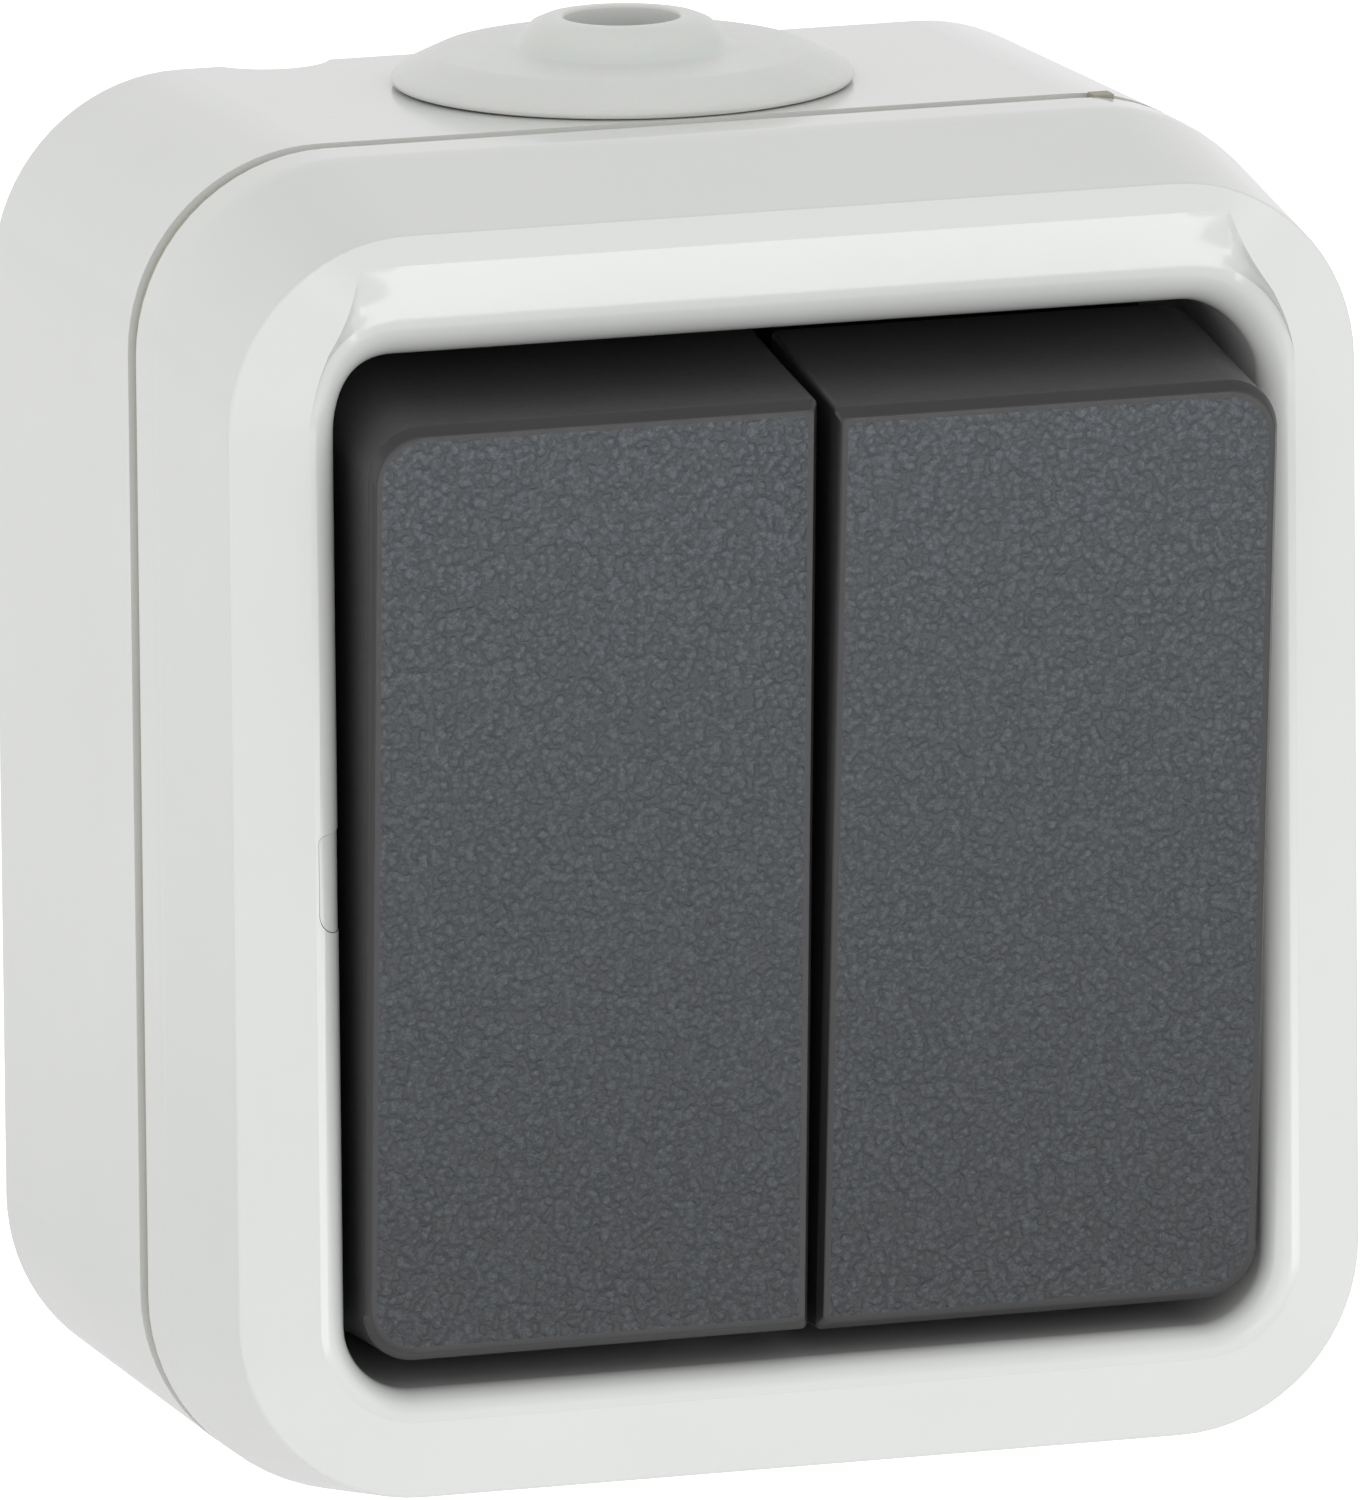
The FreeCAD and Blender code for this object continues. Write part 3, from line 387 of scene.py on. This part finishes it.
def eased(points, rounds, near=1.2, above=26):
    """The same loop, its upper corners eased: each round moves a point towards its two near neighbours."""
    for _ in range(rounds):
        result = []
        for before, point, after in zip(points[-1:] + points[:-1], points, points[1:] + points[:1]):
            if point[2] > above and math.dist(before, point) < near and math.dist(point, after) < near:
                point = tuple((a + 2 * b + c) / 4 for a, b, c in zip(before, point, after))
            result.append(point)
        points = result
    return points


def cover_side():
    """Loops up the cover's outside, from the seam to the crisp edge of its sloping face."""
    front, rear, band, edge = COVER["front"], COVER["rear"], COVER["band"], COVER["edge"]
    loops = [centred(*cover_section(rear, 0.12)), centred(*cover_section(rear + 0.12)),
             centred(*cover_section(band - 0.5))]
    for share in (0.2, 0.4, 0.6, 0.8):
        loops.append(centred(*cover_section(band - 0.5 + 1.2 * share, 0.03 * math.sin(math.pi * share))))
    loops.append(centred(*cover_section(band + 0.7)))
    side_end = centred(*cover_section(front - edge))
    corner = centred(*cover_section(front))
    face_width = 4.5
    face_start = mix_points(corner, land_outline(), edge / face_width)
    spans = 6
    for k in range(spans + 1):
        first = mix_points(side_end, corner, k / spans)
        last = mix_points(corner, face_start, k / spans)
        loops.append(mix_points(first, last, k / spans))
    return loops


def cover_lip():
    """Loops from the edge of the finger land over the window's rounded lip."""
    face, spans = COVER["face"], 10
    land = land_outline()
    lip_start = sunk(window_outline(0.995, face - 0.01), face - LAND["depth"])
    lip_end_drop = face - LAND["depth"] + WINDOW["lip_high"] - WINDOW["lip"]
    window = sunk(window_outline(0, face - WINDOW["lip"]), lip_end_drop)
    loops = [land]
    rounds = (0, 0, 2, 4, 5, 4, 2)
    for step, count in enumerate(rounds, 1):
        loops.append(eased(mix_points(land, lip_start, step / (len(rounds) + 1)), count))
    loops.append(lip_start)
    for k in range(1, spans + 1):
        a = math.pi / 2 * k / spans
        loops.append(mix_points(lip_start, window, math.sin(a), 1 - math.cos(a)))
    return loops


def cover_inside():
    """Loops from the window's rear along the guard tunnel and the cover's inner wall."""
    front, rear, wall = COVER["front"], COVER["rear"], COVER["wall"]
    tunnel_outside = 0.85
    return [window_outline(0, WINDOW["rear"]), window_outline(tunnel_outside, WINDOW["rear"]),
            window_outline(tunnel_outside, front - wall),
            centred(*cover_section(front - wall, wall)), centred(*cover_section(rear, wall))]


def tongue_outline(inset, depth):
    """The release latch's outline, its upper edge slanting down towards the outside."""
    inside, outside = WINDOW["half_width"], WINDOW["half_width"] + LATCH["reach"]
    points = outline(-outside + inset, -inside + 1 - inset, LATCH["low"] + inset, LATCH["high"] - inset,
                     [1.1, 0.1, 0.1, 0.3], depth, 8)
    slope = LATCH["slant"] / LATCH["reach"]
    return [(x, d, z + slope * (x + inside) if z > 0 else z) for x, d, z in points]


def make_cover():
    skin = Skin()
    skin.run(cover_side() + cover_lip() + cover_inside(), ring=True)
    edge = BOX["half_width"] - BOX["wall"] - 0.25
    reach = HOOK["half_height"]
    for side in (-1, 1):
        stem = sorted((side * (edge - HOOK["thickness"]), side * edge))
        barb = sorted((side * (edge - 0.5), side * (edge + HOOK["barb"])))
        skin.box((stem[0], HOOK["rear"], -reach), (stem[1], HOOK["front"], reach))
        skin.box((barb[0], HOOK["rear"], -reach), (barb[1], HOOK["barb_front"], reach))
    slot = [tongue_outline(0, 32.0), tongue_outline(0, COVER["face"] + 1)]
    skin.finish("front_cover", ["housing_grey"], "case", ["cover_frame"],
                bevel=0.06, limit=14, cutters=[cutter(lambda s: s.run(slot, True, True))])


def make_latch():
    tongue = Skin()
    play = LATCH["play"]
    tongue.run([tongue_outline(play, LATCH["rear"]), tongue_outline(play, COVER["face"] + 0.5)], True, True)
    lip, centre = WINDOW["lip"] - 0.05, WINDOW["half_width"] + WINDOW["lip"]
    root, spans = COVER["face"] - WINDOW["lip"], 16

    def beyond_lip(made):
        """What stands in front of the lip's round and inside the window."""
        nose = [(-centre - 1, 50.0)]
        for k in range(spans + 1):
            a = math.pi / 2 * k / spans
            nose.append((-centre + lip * math.sin(a), root + lip * math.cos(a)))
        nose += [(-centre + lip, 30.0), (-centre + 6, 30.0), (-centre + 6, 50.0)]
        made.run([[(x, d, level) for x, d in nose] for level in (-5, 5)], True, True)

    tongue.finish("latch_tongue", ["housing_grey"], "case", ["release_latch"], bevel=0.05,
                  cutters=[cutter(beyond_lip)])


# ---------------------------------------------------------------- rocker caps
def make_cap(word, side):
    """One rocker's cap, made upright and then tilted about the shaft."""
    def section(depth, half_height, inset, corner, inner_corner=0.35):
        x0, x1 = CAP["inner"] + inset, CAP["outer"] - inset
        radii = [inner_corner, corner, corner, inner_corner]
        if side < 0:
            x0, x1, radii = -x1, -x0, [corner, inner_corner, inner_corner, corner]
        return outline(x0, x1, -half_height, half_height, radii, PIVOT_DEPTH + depth)

    rear, front, corner, wall, border = (CAP[key] for key in ("rear", "front", "corner", "wall", "border"))
    rear_half, front_half, side_chamfer = CAP["rear_half"], CAP["front_half"], CAP["side_chamfer"]
    face_half, face_corner = front_half - CAP["chamfer"], corner - side_chamfer
    skin = Skin()
    rows = skin.run([
        section(rear, rear_half, 0, corner + 0.6),
        section(rear + 4.9, (rear_half + front_half) / 2, 0, corner + 0.3),
        section(front - CAP["chamfer"], front_half, 0, corner),
        section(front, face_half, side_chamfer, face_corner),
        section(front, face_half - border, side_chamfer + border, face_corner - border, 0.2)])
    skin.cap(rows[-1], slot=1)
    inner = skin.run([
        section(rear, rear_half - wall, wall, corner + 0.6 - wall, 0.2),
        section(front - CAP["front_wall"], front_half - wall, wall, corner - wall, 0.2)], end_cap=True)
    skin.band(rows[0], inner[0])
    x = sorted((side * 8.5, side * 15.5))
    for level in (-1, 1):
        for low, high, rib_rear in RIBS:
            z = sorted((level * low, level * high))
            skin.box((x[0], PIVOT_DEPTH + rib_rear, z[0]), (x[1], PIVOT_DEPTH + front - 1.6, z[1]))
    near, far = sorted((side * 0.01, side * 2.4))
    lug_relief = cutter(lambda s: s.box((near, PIVOT_DEPTH, -7), (far, PIVOT_DEPTH + 4.8, 7)))
    skin.finish(f"cap_{word}", ["rocker_grey", "rocker_face"], f"rocker_{word}", [f"rocker_cap_{word}"],
                bevel=0.07, turn=TILT[word], cutters=[lug_relief])


# ---------------------------------------------------------------- cable grommet and gasket
def make_grommet():
    """The cable membrane: a nipple on a flange, with a throat and a lip inside the top wall."""
    rim, hole, throat, spans = (GROMMET[key] for key in ("rim", "hole", "throat", "spans"))
    nipple = [(hole, 0.5), (hole, 3.55), (hole + 0.12, 3.68), (hole + 0.5, 3.7), (hole + 1.15, 3.6),
              (hole + 1.75, 3.35), (hole + 2.2, 2.95), (hole + 2.4, 2.6), (hole + 2.5, 2.3),
              (hole + 2.75, 2.05), (hole + 3.2, 1.93), (hole + 4.5, 1.88)]
    flange = [(10.2, 1.82), (10.55, 1.74), (10.95, 1.55), (11.7, 1.2), (12.4, 0.86), (12.72, 0.66),
              (12.88, 0.45), (rim, 0.3), (12.86, 0.1), (12.6, 0.02)]
    inside = [(throat, 0.02), (throat, -2.45), (throat + 0.6, -2.5), (throat + 0.6, -2.9),
              (throat + 0.3, -3.6), (throat - 1.5, -3.7), (throat - 1.5, 0.1), (hole + 1.9, 0.45)]
    turns = [math.tau * i / spans for i in range(spans)]
    skin = Skin()
    skin.run([[(radius * math.cos(a), GROMMET["depth"] + radius * math.sin(a), BOX["half_height"] + height)
               for a in turns] for radius, height in nipple + flange + inside], ring=True)
    skin.finish("cable_membrane", ["grommet_grey"], "case", ["cable_grommet"], bevel=0.05)


def make_gasket():
    """The sealing strip in the seam, with its small tab at the top."""
    rear, front, top = BOX["depth"], COVER["rear"], BOX["half_height"]
    section = ((0.5, rear), (0.32, rear + 0.25), (0.3, rear + 0.7), (0.32, front - 0.25), (0.5, front),
               (2.0, front), (2.0, rear))
    skin = Skin()
    skin.run([centred(BOX["half_width"] - inset, top - inset, BOX["corner"] - inset, depth)
              for inset, depth in section], ring=True)
    skin.box((22.9, rear + 0.12, top - 1.4), (24.1, front - 0.12, top + 0.05))
    skin.finish("seal_strip", ["gasket_beige"], "case", ["box_gasket"], bevel=0.06)


# ---------------------------------------------------------------- the rest of the CAD, repainted
def repaint():
    """Each CAD solid gets its own procedural material."""
    slots = {part["node"]: part["material_slot"] for part in frame["record"]["subparts"]}
    for name, thing in frame["nodes"].items():
        material = MATERIALS["box_grey" if name == "back_box" else slots[name]]
        for holder in thing.material_slots:
            holder.material = material
        if not thing.material_slots:
            thing.data.materials.append(material)


# ---------------------------------------------------------------- floor, light and camera
WORLD = {"seen": 1.02, "glow": 0.79}
FLOOR = {"seen": 0.7, "glow": 0.03, "level": -0.7, "size": 60}    # level and size in metres
# Angles in degrees, distance and lens in millimetres; the camera looks at the aim point.
CAMERA = {"aim": (0, -22.702, 1.155), "azimuth": -18.0586, "elevation": 11.4124, "roll": 0.5421,
          "distance": 1600.17, "lens": 759.147}
# Name, azimuth and elevation from the object, width and height (all degrees), radiance.
CARDS = [
    ("card_back", 180, 12, 110, 50, 0.19),
    ("card_front", -18, 11, 40, 40, 0.5),
    ("card_left", -75, 0, 40, 60, 0.72),
    ("card_right", 60, 0, 40, 60, 0.48),
    ("card_low", 18, -14.5, 50, 9, 3.4),
    ("strip_left", -6, 4, 10, 50, 0.6),
    ("strip_right", 42, 2, 10, 50, 0.6),
    ("strip_high", 18, 16, 50, 9, 0.6),
]


def camera_sees(tree, socket, seen, otherwise):
    """One value for what the camera sees directly, another for the light that a surface gives."""
    path = node(tree, "ShaderNodeLightPath")
    pick = node(tree, "ShaderNodeMix", data_type="FLOAT")
    pick.inputs["A"].default_value = otherwise
    pick.inputs["B"].default_value = seen
    tree.links.new(path.outputs["Is Camera Ray"], pick.inputs["Factor"])
    tree.links.new(pick.outputs["Result"], socket)


def make_floor():
    material, tree, shader = new_material("pale floor", 0.9, specular=0.1)
    clouds, _ = noise(tree, 0.004, 3.0)
    tint(tree, clouds, (0.86, 0.86, 0.86), (0.89, 0.89, 0.89), shader)
    shader.inputs["Emission Color"].default_value = (1, 1, 1, 1)
    camera_sees(tree, shader.inputs["Emission Strength"], FLOOR["seen"], FLOOR["glow"])
    bpy.ops.mesh.primitive_plane_add(size=FLOOR["size"], location=(0, 0, FLOOR["level"]))
    floor = bpy.context.object
    floor.name = "floor"
    floor.data.materials.append(material)


def make_world():
    world = bpy.data.worlds.new("studio")
    bpy.context.scene.world = world
    world.use_nodes = True
    background = world.node_tree.nodes["Background"]
    background.inputs["Color"].default_value = (1, 1, 1, 1)
    camera_sees(world.node_tree, background.inputs["Strength"], WORLD["seen"], WORLD["glow"])


def direction(azimuth, elevation):
    """The way out from the object at an azimuth (0 is straight in front, + to the right) and elevation."""
    a, e = math.radians(azimuth), math.radians(elevation)
    return Vector((math.sin(a) * math.cos(e), -math.cos(a) * math.cos(e), math.sin(e)))


def make_card(name, azimuth, elevation, wide, high, radiance, distance=1.2):
    """A softbox of the given angular size, turned to the object."""
    way = direction(azimuth, elevation)
    lamp = bpy.data.lights.new(name, "AREA")
    lamp.shape = "RECTANGLE"
    lamp.size = 2 * distance * math.tan(math.radians(wide / 2))
    lamp.size_y = 2 * distance * math.tan(math.radians(high / 2))
    lamp.energy = radiance * math.pi * lamp.size * lamp.size_y
    thing = bpy.data.objects.new(name, lamp)
    bpy.context.scene.collection.objects.link(thing)
    centre = Vector((0, -43 * MM, 0))
    thing.location = centre + way * distance
    thing.rotation_euler = way.to_track_quat("Z", "Y").to_euler()
    thing.visible_camera = False


def make_camera():
    camera = bpy.data.cameras.new("camera")
    thing = bpy.data.objects.new("camera", camera)
    bpy.context.scene.collection.objects.link(thing)
    way = direction(CAMERA["azimuth"], CAMERA["elevation"])
    turn = way.to_track_quat("Z", "Y").to_matrix() @ Matrix.Rotation(math.radians(-CAMERA["roll"]), 3, "Z")
    position = (Vector(CAMERA["aim"]) + way * CAMERA["distance"]) * MM
    thing.matrix_world = Matrix.Translation(position) @ turn.to_4x4()
    camera.sensor_fit = "HORIZONTAL"
    camera.sensor_width = 36.0
    camera.lens = CAMERA["lens"]
    camera.clip_start, camera.clip_end = 0.05, 100
    bpy.context.scene.camera = thing


repaint()
make_cover()
make_latch()
for word, side in (("left", -1), ("right", 1)):
    make_cap(word, side)
make_grommet()
make_gasket()
make_floor()
make_world()
for card in CARDS:
    make_card(*card)
make_camera()
view = bpy.context.scene.view_settings
view.view_transform = "Standard"
view.look = "None"
